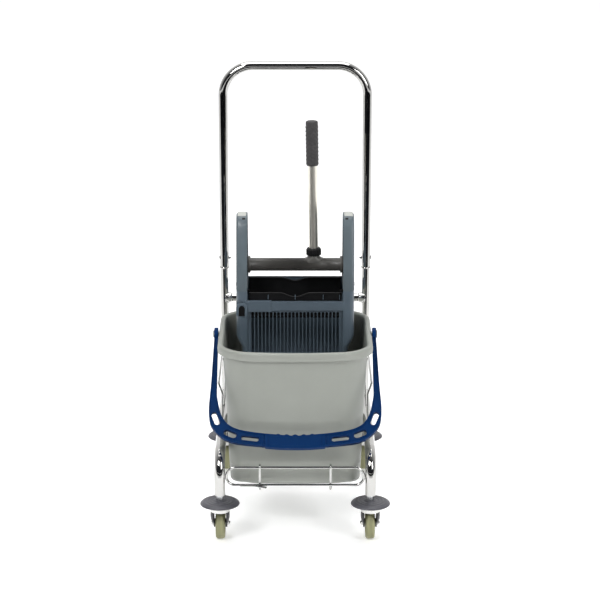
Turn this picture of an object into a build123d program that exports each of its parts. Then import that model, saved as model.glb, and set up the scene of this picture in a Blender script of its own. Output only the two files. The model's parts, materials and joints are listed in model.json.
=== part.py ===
"""Single-bucket mop trolley with a down-press wringer, in millimetres.

+Z is up, the front of the trolley faces -Y and the push handle stands at the back, towards +Y.
The origin is on the floor, in the middle of the trolley's bounding box.
"""

from build123d import *
import os
from math import acos, cos, pi, radians, sin, tan

os.makedirs("parts", exist_ok=True)

# ---------------------------------------------------------------- driving dimensions
track = 350.0  # between the left and right caster stems
wheelbase = 460.0  # between the front and rear caster stems
wheel_radius = 37.5
caster_trail = 25.0
disc_radius = 46.0

# The bounding box runs from the front bumper discs to the back of the rear wheels.
front_y = (disc_radius - caster_trail - wheel_radius - wheelbase) / 2
rear_y = front_y + wheelbase
half_track = track / 2

leg_radius, leg_wall = 12.5, 1.5
post_radius, post_wall = 9.5, 1.5
handle_radius, handle_wall = 11.0, 1.4
leg_foot_z = 117.0  # lower ends of the legs and posts
rail_z, rail_bend = 212.0, 50.0
handle_top_z, handle_bend = 1043.0, 72.0
handle_joint_z, handle_overlap = 538.0, 52.0
handle_screw_z, screw_radius, screw_hole = 565.0, 2.5, 2.6
cross_tube_z, cross_tube_radius, cross_tube_wall = 461.0, 10.0, 1.5

wire = 3.0  # radius of the cradle wire
guard_wire = 2.5
cradle_z, cradle_x = 125.0, 82.0
loop_top_z, loop_low_z = 184.0, 141.0
guard_front, guard_back = front_y + 118, front_y + 330

axle_radius, hub_bore, axle_z = 4.0, 4.06, wheel_radius
stem_radius, socket_bore = 5.4, 5.46
fork_gap, fork_wall, fork_top_z = 14.0, 2.0, 88.0  # fork_gap: wheel's middle to the cheek
raceway_radius, raceway_low_z = 23.0, 78.0
disc_low_z, socket_low_z = 95.0, 104.2

# The bucket hangs a running gap above the cradle wires.
bucket_floor_z = cradle_z + wire + 0.3
wall = 3.0
rim_z, lip_height, lip_width = 460.0, 20.0, 11.0
rim_half, rim_front, rim_back = 180.0, front_y - 2, front_y + 366
belly_z, step_z = 284.0, 266.0

bail_y, bail_z = front_y + 182, 452.0
bail_lean = 46.0  # degrees below the horizontal, where the bail rests
bail_thickness, bail_eye, bail_pin = 13.0, 15.0, 6.0
arm_inner, arm_outer = 181.5, 191.0

# The wringer: the lever turns two pinions, whose racks pull the press plates down and together.
wringer_half, shell = 139.0, 3.0
wringer_front, wringer_back = front_y + 192, front_y + 330
body_top_z, tub_z, tub_floor_z = 553.0, 400.0, 330.0
side_curve_z, side_low_z = 445.0, 415.0  # the sides curve in between these heights
bar_low_z, bar_top_z, bar_back = 506.0, 527.0, front_y + 202.5
column_x = 113.0  # inner edge of the side columns
grate_y, grate_low_z, grate_top_z = front_y + 198, 388.0, 501.0
housing_top_z = 728.0
tooth_module, pinion_teeth, pressure = 2.5, 22, radians(20)
pinion_radius = tooth_module * pinion_teeth / 2
tooth_pitch = pi * tooth_module
backlash = 0.35
shaft_y, shaft_z = front_y + 278.5, 596.0
rack_line = shaft_y - pinion_radius
lever_x, lever_lean, lever_travel = 44.5, 0.95, 105.0
press_travel = pinion_radius * radians(lever_travel)
plate_fold = 62.0  # degrees that each press plate folds in over the lever's travel
plate_half, plate_thickness = 109.0, 5.0
hinge_z, rod_radius = 489.0, 3.0
front_hinge, rear_hinge = front_y + 207, front_y + 321
cam_arm = 30.0
rack_x, rack_width = 117.0, 10.0

SIDES = {"left": -1, "right": 1}
CORNERS = {
    "front_left": (-half_track, front_y),
    "front_right": (half_track, front_y),
    "rear_left": (-half_track, rear_y),
    "rear_right": (half_track, rear_y),
}


def round_bar(centre, axis, radius, length, mode=Mode.ADD):
    """A cylinder centred on a point, for the part being made."""
    with BuildSketch(Plane(origin=centre, z_dir=axis)) as end:
        Circle(radius)
    extrude(end.sketch, amount=length / 2, both=True, mode=mode)


def swept_tube(path, radius, bore=0.0):
    """A round section, hollow if it has a bore, swept along a path."""
    with BuildSketch(Plane(origin=path @ 0, z_dir=path % 0)) as section:
        Circle(radius)
        if bore:
            Circle(bore, mode=Mode.SUBTRACT)
    sweep(section.sketch, path=path)


def block(x, y, z, mode=Mode.ADD):
    """A box between pairs of limits along X, Y and Z."""
    with BuildSketch(Plane.XY.offset(z[0])) as base:
        with Locations(((x[0] + x[1]) / 2, (y[0] + y[1]) / 2)):
            Rectangle(abs(x[1] - x[0]), y[1] - y[0])
    extrude(base.sketch, amount=z[1] - z[0], mode=mode)


def spun(centre, axis, profile):
    """A profile of (distance along the axis, radius) points turned round the axis."""
    axis = Vector(*axis)
    across = Vector(0, 0, 1) if axis.Z == 0 else Vector(0, -1, 0)
    plane = Plane(origin=centre, x_dir=axis, z_dir=axis.cross(across))
    with BuildSketch(plane) as half:
        with BuildLine():
            Polyline(*profile, close=True)
        make_face()
    revolve(half.sketch, axis=Axis(centre, axis))


def side_plane(x):
    """A plane across X whose sketch axes are Y and Z."""
    return Plane(origin=(x, 0, 0), x_dir=(0, 1, 0), z_dir=(1, 0, 0))


# ---------------------------------------------------------------- chromed frame
for name, side in SIDES.items():
    x = side * half_track
    with BuildPart() as rear_post:
        with BuildLine() as path:
            Line((x, rear_y, leg_foot_z), (x, rear_y, handle_joint_z + handle_overlap))
        swept_tube(path.line, post_radius, post_radius - post_wall)
        round_bar((x, rear_y, handle_screw_z), (1, 0, 0), screw_hole, 40, Mode.SUBTRACT)
    rear_post.part.label = f"rear_post_{name}"
    export_step(rear_post.part, f"parts/rear_post_{name}.step")

    with BuildPart() as side_rail:
        with BuildLine() as path:
            FilletPolyline(
                (x, front_y, leg_foot_z), (x, front_y, rail_z), (x, rear_y, rail_z), radius=rail_bend
            )
        swept_tube(path.line, leg_radius, leg_radius - leg_wall)
        block((x - 20, x + 20), (rear_y, rear_y + 20), (rail_z - 20, rail_z + 20), Mode.SUBTRACT)
        round_bar((x, rear_y, rail_z), (0, 0, 1), post_radius, 40, Mode.SUBTRACT)
    side_rail.part.label = f"side_rail_{name}"
    export_step(side_rail.part, f"parts/side_rail_{name}.step")

    with BuildPart() as side_guard:
        foot_x, neck_x, top_x = side * half_track, side * 170.5, side * 179.5
        foot_z, neck_z, top_z = rail_z + leg_radius - 0.3, 322.0, 350.0
        with BuildLine() as path:
            FilletPolyline(
                (foot_x, guard_front, foot_z),
                (neck_x, guard_front, neck_z),
                (top_x, guard_front, top_z),
                (top_x, guard_back, top_z),
                (neck_x, guard_back, neck_z),
                (foot_x, guard_back, foot_z),
                radius=9,
            )
        swept_tube(path.line, guard_wire)
        for y in (guard_front, guard_back):
            round_bar((foot_x, y, rail_z), (0, 1, 0), leg_radius, 20, Mode.SUBTRACT)
    side_guard.part.label = f"side_guard_{name}"
    export_step(side_guard.part, f"parts/side_guard_{name}.step")

with BuildPart() as push_handle:
    with BuildLine() as path:
        FilletPolyline(
            (-half_track, rear_y, handle_joint_z),
            (-half_track, rear_y, handle_top_z),
            (half_track, rear_y, handle_top_z),
            (half_track, rear_y, handle_joint_z),
            radius=handle_bend,
        )
    swept_tube(path.line, handle_radius, handle_radius - handle_wall)
    round_bar((0, rear_y, handle_screw_z), (1, 0, 0), screw_hole, 2 * half_track + 40, Mode.SUBTRACT)
push_handle.part.label = "push_handle"
export_step(push_handle.part, "parts/push_handle.step")

with BuildPart() as handle_screws:
    for side in (-1, 1):
        head = (side * (half_track + handle_radius), rear_y, handle_screw_z)
        spun(head, (side, 0, 0), [(-27.5, 0), (-27.5, screw_radius), (0, screw_radius), (0, 5), (1, 4.7),
                                  (2, 3.6), (2.6, 1.8), (2.7, 0)])
handle_screws.part.label = "handle_screws"
export_step(handle_screws.part, "parts/handle_screws.step")

with BuildPart() as handle_nuts:
    for side in (-1, 1):
        seat = Plane(origin=(side * (half_track - handle_radius), rear_y, handle_screw_z), z_dir=(-side, 0, 0))
        with BuildSketch(seat):
            RegularPolygon(4.6, 6)
            Circle(screw_radius, mode=Mode.SUBTRACT)
        extrude(amount=4)
handle_nuts.part.label = "handle_nuts"
export_step(handle_nuts.part, "parts/handle_nuts.step")

with BuildPart() as cross_tube:
    round_bar((0, rear_y, cross_tube_z), (1, 0, 0), cross_tube_radius, track)
    inside = cross_tube_radius - cross_tube_wall
    round_bar((0, rear_y, cross_tube_z), (1, 0, 0), inside, track, Mode.SUBTRACT)
    for side in (-1, 1):
        round_bar((side * half_track, rear_y, cross_tube_z), (0, 0, 1), post_radius, 60, Mode.SUBTRACT)
cross_tube.part.label = "cross_tube"
export_step(cross_tube.part, "parts/cross_tube.step")

with BuildPart() as cross_tube_collars:
    for side in (-1, 1):
        spun(
            (side * (half_track - 18), rear_y, cross_tube_z),
            (side, 0, 0),
            [(0, cross_tube_radius), (0, 11.5), (2, 13), (6, 13.6), (16, 13.6), (16, cross_tube_radius)],
        )
        round_bar((side * half_track, rear_y, cross_tube_z), (0, 0, 1), post_radius, 60, Mode.SUBTRACT)
cross_tube_collars.part.label = "cross_tube_collars"
export_step(cross_tube_collars.part, "parts/cross_tube_collars.step")

# The wire loops run as stadiums between two legs, whose tubes they are welded to.
for name, y, tube_radius in (("front", front_y, leg_radius), ("rear", rear_y, post_radius)):
    with BuildPart() as wire_loop:
        reach = half_track - tube_radius - wire
        bend = (loop_top_z - loop_low_z) / 2 - 0.5
        with BuildLine() as path:
            FilletPolyline(
                (0, y, loop_top_z),
                (reach, y, loop_top_z),
                (reach, y, loop_low_z),
                (-reach, y, loop_low_z),
                (-reach, y, loop_top_z),
                (-0.02, y, loop_top_z),
                radius=bend,
            )
        swept_tube(path.line, wire)
    wire_loop.part.label = f"{name}_wire_loop"
    export_step(wire_loop.part, f"parts/{name}_wire_loop.step")

for name, x in (("left", -cradle_x), ("right", cradle_x)):
    ends_y = (front_y + 2 * wire, rear_y - 2 * wire)
    with BuildPart() as cradle_wire:
        with BuildLine() as path:
            FilletPolyline(
                (x, ends_y[0], loop_top_z),
                (x, ends_y[0], cradle_z),
                (x, ends_y[1], cradle_z),
                (x, ends_y[1], loop_top_z),
                radius=12,
            )
        swept_tube(path.line, wire)
    cradle_wire.part.label = f"cradle_wire_{name}"
    export_step(cradle_wire.part, f"parts/cradle_wire_{name}.step")

with BuildPart() as cross_wires:
    for y in (front_y + 90, front_y + 185, front_y + 280):
        round_bar((0, y, cradle_z - 2 * wire), (1, 0, 0), wire, 2 * cradle_x + 30)
cross_wires.part.label = "cross_wires"
export_step(cross_wires.part, "parts/cross_wires.step")

# ---------------------------------------------------------------- casters
with BuildPart() as leg_sockets:
    for name, (x, y) in CORNERS.items():
        plug = leg_radius - leg_wall if name.startswith("front") else post_radius - post_wall
        spun(
            (x, y, 0),
            (0, 0, 1),
            [(disc_low_z, socket_bore), (disc_low_z, 6.5), (socket_low_z, 6.5), (socket_low_z, 8.7),
             (leg_foot_z, 8.7), (leg_foot_z, plug), (138, plug), (138, socket_bore)],
        )
leg_sockets.part.label = "leg_sockets"
export_step(leg_sockets.part, "parts/leg_sockets.step")

disc_profile = [(0, 6.5), (9.2, 6.5), (9.2, 12), (7.6, 15), (6.6, 34), (5.2, 41), (2.4, 45.4), (0.6, disc_radius),
                (0, disc_radius - 0.6), (0, 43), (3, 39), (4.2, 34), (4.6, 16), (0, 12)]
fork_plate_z = fork_top_z - fork_wall - 1
raceway_profile = [(fork_plate_z, 0), (fork_plate_z, 20.5), (raceway_low_z, 21), (raceway_low_z, raceway_radius),
                   (87, raceway_radius), (90, 21), (91.4, 16), (91.4, 12), (94.2, 12), (94.2, stem_radius),
                   (132, stem_radius), (134, 4), (134, 0)]
shroud_profile = [(raceway_low_z - 0.2, 0), (raceway_low_z - 0.2, 22.2), (68, 22.6), (60, 22), (52, 20),
                  (45, 17.5), (40, 14), (40, 0)]
for name, (x, y) in CORNERS.items():
    with BuildPart() as bumper_disc:
        spun((x, y, disc_low_z), (0, 0, 1), disc_profile)
    bumper_disc.part.label = f"bumper_disc_{name}"
    export_step(bumper_disc.part, f"parts/bumper_disc_{name}.step")

    axle = (x, y + caster_trail, axle_z)
    with BuildPart() as caster_fork:
        with BuildSketch(side_plane(x - fork_gap - fork_wall)):
            with BuildLine():
                Line((y - 13, fork_top_z - 16), (y - 13, fork_top_z))
                Line((y - 13, fork_top_z), (y + 16, fork_top_z))
                Line((y + 16, fork_top_z), (y + 22, fork_top_z - 12))
                Line((y + 22, fork_top_z - 12), (axle[1] + 11, axle_z))
                RadiusArc((axle[1] + 11, axle_z), (axle[1] - 11, axle_z), 11)
                Line((axle[1] - 11, axle_z), (y - 13, fork_top_z - 16))
            make_face()
        extrude(amount=2 * (fork_gap + fork_wall))
        block((x - fork_gap, x + fork_gap), (y - 30, y + 60), (0, fork_plate_z), Mode.SUBTRACT)
        spun((x, y, 0), (0, 0, 1), raceway_profile)
        round_bar(axle, (1, 0, 0), axle_radius + 0.05, 60, Mode.SUBTRACT)
    caster_fork.part.label = f"caster_fork_{name}"
    export_step(caster_fork.part, f"parts/caster_fork_{name}.step")

    with BuildPart() as axle_bolt:
        outside = fork_gap + fork_wall + 0.02
        round_bar(axle, (1, 0, 0), axle_radius, 2 * outside + 14)
        for side, height in ((-1, 4.5), (1, 3.6)):
            with BuildSketch(Plane(origin=(x + side * outside, axle[1], axle_z), z_dir=(side, 0, 0))):
                RegularPolygon(6.6, 6)
            extrude(amount=height)
    axle_bolt.part.label = f"axle_bolt_{name}"
    export_step(axle_bolt.part, f"parts/axle_bolt_{name}.step")

    with BuildPart() as wheel_hub:
        half = [(8, 25), (8, 21), (3.5, 19), (3.5, 12), (13.8, 10), (13.8, hub_bore)]
        spun(axle, (1, 0, 0), half + [(-w, r) for w, r in reversed(half)])
    wheel_hub.part.label = f"wheel_hub_{name}"
    export_step(wheel_hub.part, f"parts/wheel_hub_{name}.step")

    with BuildPart() as wheel_tyre:
        half = [(7, wheel_radius), (9.6, wheel_radius - 0.8), (11, wheel_radius - 3), (11, 27), (8, 25)]
        spun(axle, (1, 0, 0), half + [(-w, r) for w, r in reversed(half)])
    wheel_tyre.part.label = f"wheel_tyre_{name}"
    export_step(wheel_tyre.part, f"parts/wheel_tyre_{name}.step")

    with BuildPart() as fork_shrouds:
        spun((x, y, 0), (0, 0, 1), shroud_profile)
        inside = fork_gap + fork_wall + 0.02
        block((x - inside, x + inside), (y - 30, y + 60), (0, 100), Mode.SUBTRACT)
        round_bar(axle, (1, 0, 0), 8, 60, Mode.SUBTRACT)
    fork_shrouds.part.label = f"fork_shrouds_{name}"
    export_step(fork_shrouds.part, f"parts/fork_shrouds_{name}.step")


# ---------------------------------------------------------------- bucket and bail
def bucket_plan(z, half, front, back, corner, front_bow, back_bow):
    """Plan of the bucket at a height: bowed front and back, straight sides and round corners."""
    with BuildSketch(Plane.XY.offset(z)) as plan:
        with BuildLine():
            ThreePointArc((-half, front + front_bow), (0, front), (half, front + front_bow))
            Line((half, front + front_bow), (half, back - back_bow))
            ThreePointArc((half, back - back_bow), (0, back), (-half, back - back_bow))
            Line((-half, back - back_bow), (-half, front + front_bow))
        make_face()
        fillet(plan.vertices(), corner)
    return plan.sketch


def upper_plan(z, inset):
    """The upper wall, which leans in towards the belly."""
    lean = (rim_z - z) / (rim_z - belly_z)
    half = rim_half - lip_width - 10 * lean - inset
    front = rim_front + lip_width + 8 * lean + inset
    back = rim_back - lip_width - 8 * lean - inset
    return bucket_plan(z, half, front, back, 58 - inset, 20, 8)


def lower_plan(z, inset):
    """The narrower lower part, under the step."""
    lean = (step_z - z) / (step_z - bucket_floor_z)
    half = 158 - 6 * lean - inset
    front = front_y + 29 + 5 * lean + inset
    back = front_y + 339 - 6 * lean - inset
    return bucket_plan(z, half, front, back, 38 - inset, 6, 6)


def bucket_solid(inset, floor_z, mode=Mode.ADD):
    """The bucket's outside, or its inside when inset by the wall."""
    loft([upper_plan(belly_z, inset), upper_plan(rim_z, inset)], mode=mode)
    loft([lower_plan(step_z, inset), upper_plan(belly_z, inset)], mode=mode)
    loft([lower_plan(floor_z, inset), lower_plan(step_z, inset)], mode=mode)


with BuildPart() as bucket:
    skirt_z = rim_z - lip_height
    lip = (rim_half, rim_front, rim_back, 66, 22, 9)
    under = (rim_half - wall, rim_front + wall, rim_back - wall, 66 - wall, 22, 9)
    extrude(bucket_plan(skirt_z, *lip), amount=lip_height)
    extrude(bucket_plan(skirt_z, *under), amount=lip_height - wall, mode=Mode.SUBTRACT)
    bucket_solid(0, bucket_floor_z)
    bucket_solid(wall, bucket_floor_z + wall, Mode.SUBTRACT)
bucket.part.label = "bucket"
export_step(bucket.part, "parts/bucket.step")

with BuildPart() as bail_pivots:
    for side in (-1, 1):
        spun(
            (side * rim_half, bail_y, bail_z),
            (side, 0, 0),
            [(0, 0), (0, bail_pin), (arm_outer - rim_half + 0.3, bail_pin), (arm_outer - rim_half + 0.3, 9),
             (arm_outer - rim_half + 1.6, 9), (arm_outer - rim_half + 2.8, 7), (arm_outer - rim_half + 2.8, 0)],
        )
bail_pivots.part.label = "bail_pivots"
export_step(bail_pivots.part, "parts/bail_pivots.step")

# The bail is drawn flat: u runs across the bucket and v from the pivots to the grip.
lean = radians(bail_lean)
bail_plane = Plane(
    origin=Vector(0, bail_y, bail_z) - Vector(0, sin(lean), -cos(lean)) * (bail_thickness / 2),
    x_dir=(1, 0, 0),
    z_dir=(0, sin(lean), -cos(lean)),
)
slots = [((184, 222), 111, 34, 12.5), ((150, 261), 157, 31, 14), ((104, 272.5), 173, 41, 11)]
with BuildPart() as bail:
    with BuildSketch(bail_plane) as flat:
        with BuildLine():
            Line((arm_inner, 0), (arm_outer, 0))
            Line((arm_outer, 0), (arm_outer, 16))
            Line((arm_outer, 16), (196, 130))
            Spline((196, 130), (200, 208), (189, 249), (152, 279), (93, 289), (0, 296), tangents=[(4, 66), (-1, 0)])
            Line((0, 296), (0, 266))
            Spline((0, 266), (93, 257), (144, 244), (169, 217), (181, 168), (182, 130), tangents=[(1, 0), (0, -1)])
            Line((182, 130), (arm_inner, 0))
        make_face()
        for centre, turn, length, width in slots:
            with Locations(Location(centre, turn)):
                SlotOverall(length, width, mode=Mode.SUBTRACT)
        mirror(about=Plane.YZ)
    extrude(amount=bail_thickness)
    for side in (-1, 1):
        middle = side * (arm_inner + arm_outer) / 2
        round_bar((middle, bail_y, bail_z), (1, 0, 0), bail_eye, arm_outer - arm_inner)
        round_bar((middle, bail_y, bail_z), (1, 0, 0), bail_pin + 0.06, 30, Mode.SUBTRACT)
bail.part.label = "bail"
export_step(bail.part, "parts/bail.step")


# ---------------------------------------------------------------- wringer body
def wringer_plan(z, inset):
    """Plan of the wringer's body: its sides curve in below the side curve, and it tapers to its floor."""
    curve = min(1.0, max(0.0, (side_curve_z - z) / (side_curve_z - side_low_z)))
    taper = max(0.0, (tub_z - z) / (tub_z - tub_floor_z))
    half = wringer_half - 13 * curve**1.5 - 14 * taper - inset
    front = wringer_front + 21 * taper + inset
    back = wringer_back - 16 * taper - inset
    with BuildSketch(Plane.XY.offset(z)) as plan:
        with Locations((0, (front + back) / 2)):
            RectangleRounded(2 * half, back - front, 12 - inset)
    return plan.sketch


def wringer_solid(inset, floor_z, mode=Mode.ADD):
    """The wringer's outside, or its inside when inset by the shell."""
    extrude(wringer_plan(side_curve_z, inset), amount=body_top_z - side_curve_z, mode=mode)
    heights = [side_curve_z - step * (side_curve_z - side_low_z) / 4 for step in range(5)] + [tub_z, floor_z]
    for high, low in zip(heights, heights[1:]):
        loft([wringer_plan(low, inset), wringer_plan(high, inset)], mode=mode)


def cam_point(hinge_y, turn, fold):
    """Where a plate's cam pin is, in (Y, Z), after a fold of some degrees; turn is +1 for the front."""
    drop = press_travel * fold / plate_fold
    return (hinge_y + turn * cam_arm * sin(radians(fold)), hinge_z - drop + cam_arm * cos(radians(fold)))


with BuildPart() as wringer_basket:
    wringer_solid(0, tub_floor_z)
    wringer_solid(shell, tub_floor_z + shell, Mode.SUBTRACT)
    # the front between the columns is cut away, and a grate and a bar set back in it
    block((-column_x, column_x), (wringer_front - 1, grate_y + 2), (tub_z, body_top_z), Mode.SUBTRACT)
    block((-column_x, column_x), (grate_y, grate_y + shell), (tub_z, bar_low_z + 1))
    block((-column_x, column_x), (wringer_front, grate_y + shell), (tub_z, tub_z + shell))
    block((-column_x, column_x), (wringer_front, bar_back), (bar_low_z, bar_top_z))
    for side in (-1, 1):
        inner = sorted((side * column_x, side * (column_x + shell)))
        block(inner, (wringer_front, bar_back), (side_curve_z - 30, body_top_z))
        block(inner, (wringer_front + 1, grate_y + shell), (tub_z + 1, side_curve_z))
        block(inner, (wringer_back - 5, wringer_back), (side_curve_z, body_top_z))
        tongue = sorted((side * (wringer_half - 2 * shell - 0.2), side * (wringer_half - shell)))
        for y in (front_y + 222, front_y + 300):
            block(tongue, (y - 8, y + 8), (body_top_z - 22, body_top_z))
        inside = sorted((side * (wringer_half - 2 * shell - 0.2), side * (wringer_half - shell - 0.2)))
        for y in (front_y + 222, front_y + 300):
            block(inside, (y - 8, y + 8), (body_top_z - 1, body_top_z + 18))
            round_bar((side * (wringer_half - 4), y, body_top_z + 10), (1, 0, 0), screw_hole, 10, Mode.SUBTRACT)
    with BuildSketch(Plane(origin=(0, grate_y - 5, 0), x_dir=(1, 0, 0), z_dir=(0, -1, 0))):
        with Locations((0, (grate_low_z + grate_top_z) / 2)):
            with GridLocations(8.75, 0, 24, 1):
                SlotOverall(grate_top_z - grate_low_z, 6.2, rotation=90)
    extrude(amount=-10, mode=Mode.SUBTRACT)
    # curved slots in both side walls guide the press plates' cam pins
    for hinge_y, turn in ((front_hinge, 1), (rear_hinge, -1)):
        with BuildSketch(side_plane(-wringer_half - 1)):
            with BuildLine() as guide:
                ThreePointArc(*[cam_point(hinge_y, turn, fold) for fold in (0, plate_fold / 2, plate_fold)])
            SlotArc(guide.edge(), 8.4)
        extrude(amount=2 * wringer_half + 2, mode=Mode.SUBTRACT)
    with BuildSketch(Plane.XY.offset(tub_floor_z - 1)):
        with Locations((0, (wringer_front + wringer_back) / 2)):
            with GridLocations(22, 20, 9, 4):
                Circle(4)
    extrude(amount=shell + 2, mode=Mode.SUBTRACT)
    # two hooks drop over the cross tube, and each has a foot over the bucket's rear rim
    for side in (-1, 1):
        hook = sorted((side * 118, side * 134))
        block(hook, (wringer_back - 1, rear_y + 16), (474, 500))
        block(hook, (rim_back - 16, rim_back - 2), (rim_z + 0.3, 475))
        block(hook, (rear_y - 16, rear_y + 16), (cross_tube_z, 475))
        round_bar((side * 126, rear_y, cross_tube_z), (1, 0, 0), cross_tube_radius + 0.3, 20, Mode.SUBTRACT)
        gap = cross_tube_radius + 0.3
        block(hook, (rear_y - gap, rear_y + gap), (cross_tube_z - 1, cross_tube_z), Mode.SUBTRACT)
wringer_basket.part.label = "wringer_basket"
export_step(wringer_basket.part, "parts/wringer_basket.step")


def housing_side(inset, low_z):
    """Side outline of a rack housing, in Y and Z, down to a height."""
    front, back = wringer_front + inset, wringer_back - inset
    top = housing_top_z - inset
    with BuildLine() as outline:
        Line((front, low_z), (front, body_top_z + 12))
        Line((front, body_top_z + 12), (front_y + 218 + inset, 672))
        Spline(
            (front_y + 218 + inset, 672),
            (front_y + 229 + inset, 708 - inset),
            (front_y + 262, top),
            tangents=[(26, 107), (1, 0)],
        )
        Spline(
            (front_y + 262, top),
            (front_y + 299 - inset, 706 - inset),
            (front_y + 311 - inset, 660),
            tangents=[(1, 0), (18, -92)],
        )
        Line((front_y + 311 - inset, 660), (back, body_top_z + 12))
        Line((back, body_top_z + 12), (back, low_z))
        Line((back, low_z), (front, low_z))
    return outline.line


for name, side in SIDES.items():
    with BuildPart() as rack_housing:
        outer = Plane(origin=(side * wringer_half, 0, 0), x_dir=(0, 1, 0), z_dir=(1, 0, 0))
        inner = Plane(origin=(side * (wringer_half - shell), 0, 0), x_dir=(0, 1, 0), z_dir=(1, 0, 0))
        with BuildSketch(outer):
            make_face(housing_side(0, body_top_z))
        extrude(amount=-side * (wringer_half - column_x))
        with BuildSketch(inner):
            make_face(housing_side(shell, body_top_z - 5))
        extrude(amount=-side * 40, mode=Mode.SUBTRACT)
        round_bar((side * 134.5, shaft_y, shaft_z), (1, 0, 0), 13, 9)
        round_bar((side * 134.5, shaft_y, shaft_z), (1, 0, 0), 8.06, 20, Mode.SUBTRACT)
        for y in (front_y + 222, front_y + 300):
            round_bar((side * (wringer_half - 2), y, body_top_z + 10), (1, 0, 0), screw_hole, 12, Mode.SUBTRACT)
    rack_housing.part.label = f"rack_housing_{name}"
    export_step(rack_housing.part, f"parts/rack_housing_{name}.step")

with BuildPart() as housing_screws:
    for side in (-1, 1):
        for y in (front_y + 222, front_y + 300):
            spun(
                (side * wringer_half, y, body_top_z + 10),
                (side, 0, 0),
                [(-9, 0), (-9, screw_radius), (0, screw_radius), (0, 4.6), (1.2, 4.2), (2.2, 2.6), (2.5, 0)],
            )
housing_screws.part.label = "housing_screws"
export_step(housing_screws.part, "parts/housing_screws.step")

with BuildPart() as handle_clip:
    clip_x = (-wringer_half, -56)
    block(clip_x, (wringer_front - 2.5, bar_back - 1), (bar_low_z - 2.2, bar_top_z + 2.2))
    block((-column_x, -50), (wringer_front, bar_back), (bar_low_z, bar_top_z), Mode.SUBTRACT)
    block((-wringer_half, -column_x), (wringer_front, bar_back), (bar_low_z - 5, bar_top_z + 5), Mode.SUBTRACT)
    block((-wringer_half, -50), (grate_y - 0.2, bar_back), (bar_low_z - 5, bar_low_z), Mode.SUBTRACT)
    with BuildSketch(Plane(origin=(-127, wringer_front - 5, 519), x_dir=(1, 0, 0), z_dir=(0, 1, 0))):
        Ellipse(8, 9)
    extrude(amount=6, mode=Mode.SUBTRACT)
handle_clip.part.label = "handle_clip"
export_step(handle_clip.part, "parts/handle_clip.step")

# ---------------------------------------------------------------- press shaft and lever
shaft_centre = (0, shaft_y, shaft_z)
lever_foot = (lever_x, shaft_y, shaft_z)
lever_axis = Vector(-sin(radians(lever_lean)), 0, cos(radians(lever_lean)))
with BuildPart() as press_shaft:
    half = [(107, 15.5), (107, 20), (114, 20), (114, 9), (116.8, 9), (116.8, 8), (138, 8), (138, 0)]
    spun(shaft_centre, (1, 0, 0), half + [(-w, r) for w, r in reversed(half)])
    spun(
        lever_foot,
        lever_axis,
        [(0, 0), (0, 22), (13, 21), (17, 17.5), (22.8, 17.5), (22.8, 13.5), (43, 13.5), (43, 0)],
    )
    round_bar(Vector(*lever_foot) + lever_axis * 35, lever_axis, 11.05, 30, Mode.SUBTRACT)
press_shaft.part.label = "press_shaft"
export_step(press_shaft.part, "parts/press_shaft.step")

with BuildPart() as collar_nut:
    spun(
        lever_foot,
        lever_axis,
        [(23, 13.55), (23, 17.5), (40, 17.5), (42, 15.5), (42, 13.55)],
    )
collar_nut.part.label = "collar_nut"
export_step(collar_nut.part, "parts/collar_nut.step")

with BuildPart() as lever_tube:
    spun(lever_foot, lever_axis, [(20.1, 9.6), (20.1, 11), (341, 11), (341, 9.6)])
lever_tube.part.label = "lever_tube"
export_step(lever_tube.part, "parts/lever_tube.step")

with BuildPart() as lever_grip:
    spun(
        lever_foot,
        lever_axis,
        [(242, 11), (242, 14), (244, 15), (340, 15), (346, 13.5), (348, 10), (348, 0), (341.2, 0), (341.2, 11)],
    )
lever_grip.part.label = "lever_grip"
export_step(lever_grip.part, "parts/lever_grip.step")


def tooth_half_angle(radius):
    """Half of a pinion tooth's angle at a radius, on an involute flank."""
    roll = acos(min(1.0, pinion_radius * cos(pressure) / radius))
    flank = pi / (2 * pinion_teeth) + tan(pressure) - pressure - tan(roll) + roll
    return flank - backlash / 2 / pinion_radius


def pinion_outline():
    """Points round the pinion, in the plane of its teeth, with a tooth on its -Y side."""
    tip, root = pinion_radius + tooth_module, pinion_radius - 1.25 * tooth_module
    flank = [pinion_radius * cos(pressure), pinion_radius - 0.6, pinion_radius + 1.2, tip]
    points = []
    for tooth in range(pinion_teeth):
        middle = pi + 2 * pi * tooth / pinion_teeth
        rising = [(root, -tooth_half_angle(flank[0]))] + [(r, -tooth_half_angle(r)) for r in flank]
        for radius, turn in rising + [(r, -a) for r, a in reversed(rising)]:
            points.append((shaft_y + radius * cos(middle + turn), shaft_z + radius * sin(middle + turn)))
    return points


def rack_outline():
    """Side outline of a rack, whose teeth face the pinion and have a space level with its axis."""
    low, back = hinge_z - 5, rack_line - 12
    half_tooth = (tooth_pitch - backlash) / 4
    slope = tan(pressure)
    root, tip = -1.25 * tooth_module, tooth_module
    points = [(back, low), (rack_line + root, low)]
    for tooth in range(-3, 9):
        z = shaft_z + (tooth + 0.5) * tooth_pitch
        for side in (-1, 1):
            for depth in (root, tip) if side < 0 else (tip, root):
                points.append((rack_line + depth, z + side * (half_tooth - depth * slope)))
    top = shaft_z + 10 * tooth_pitch
    return points + [(rack_line + root, top), (back, top)]


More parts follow.
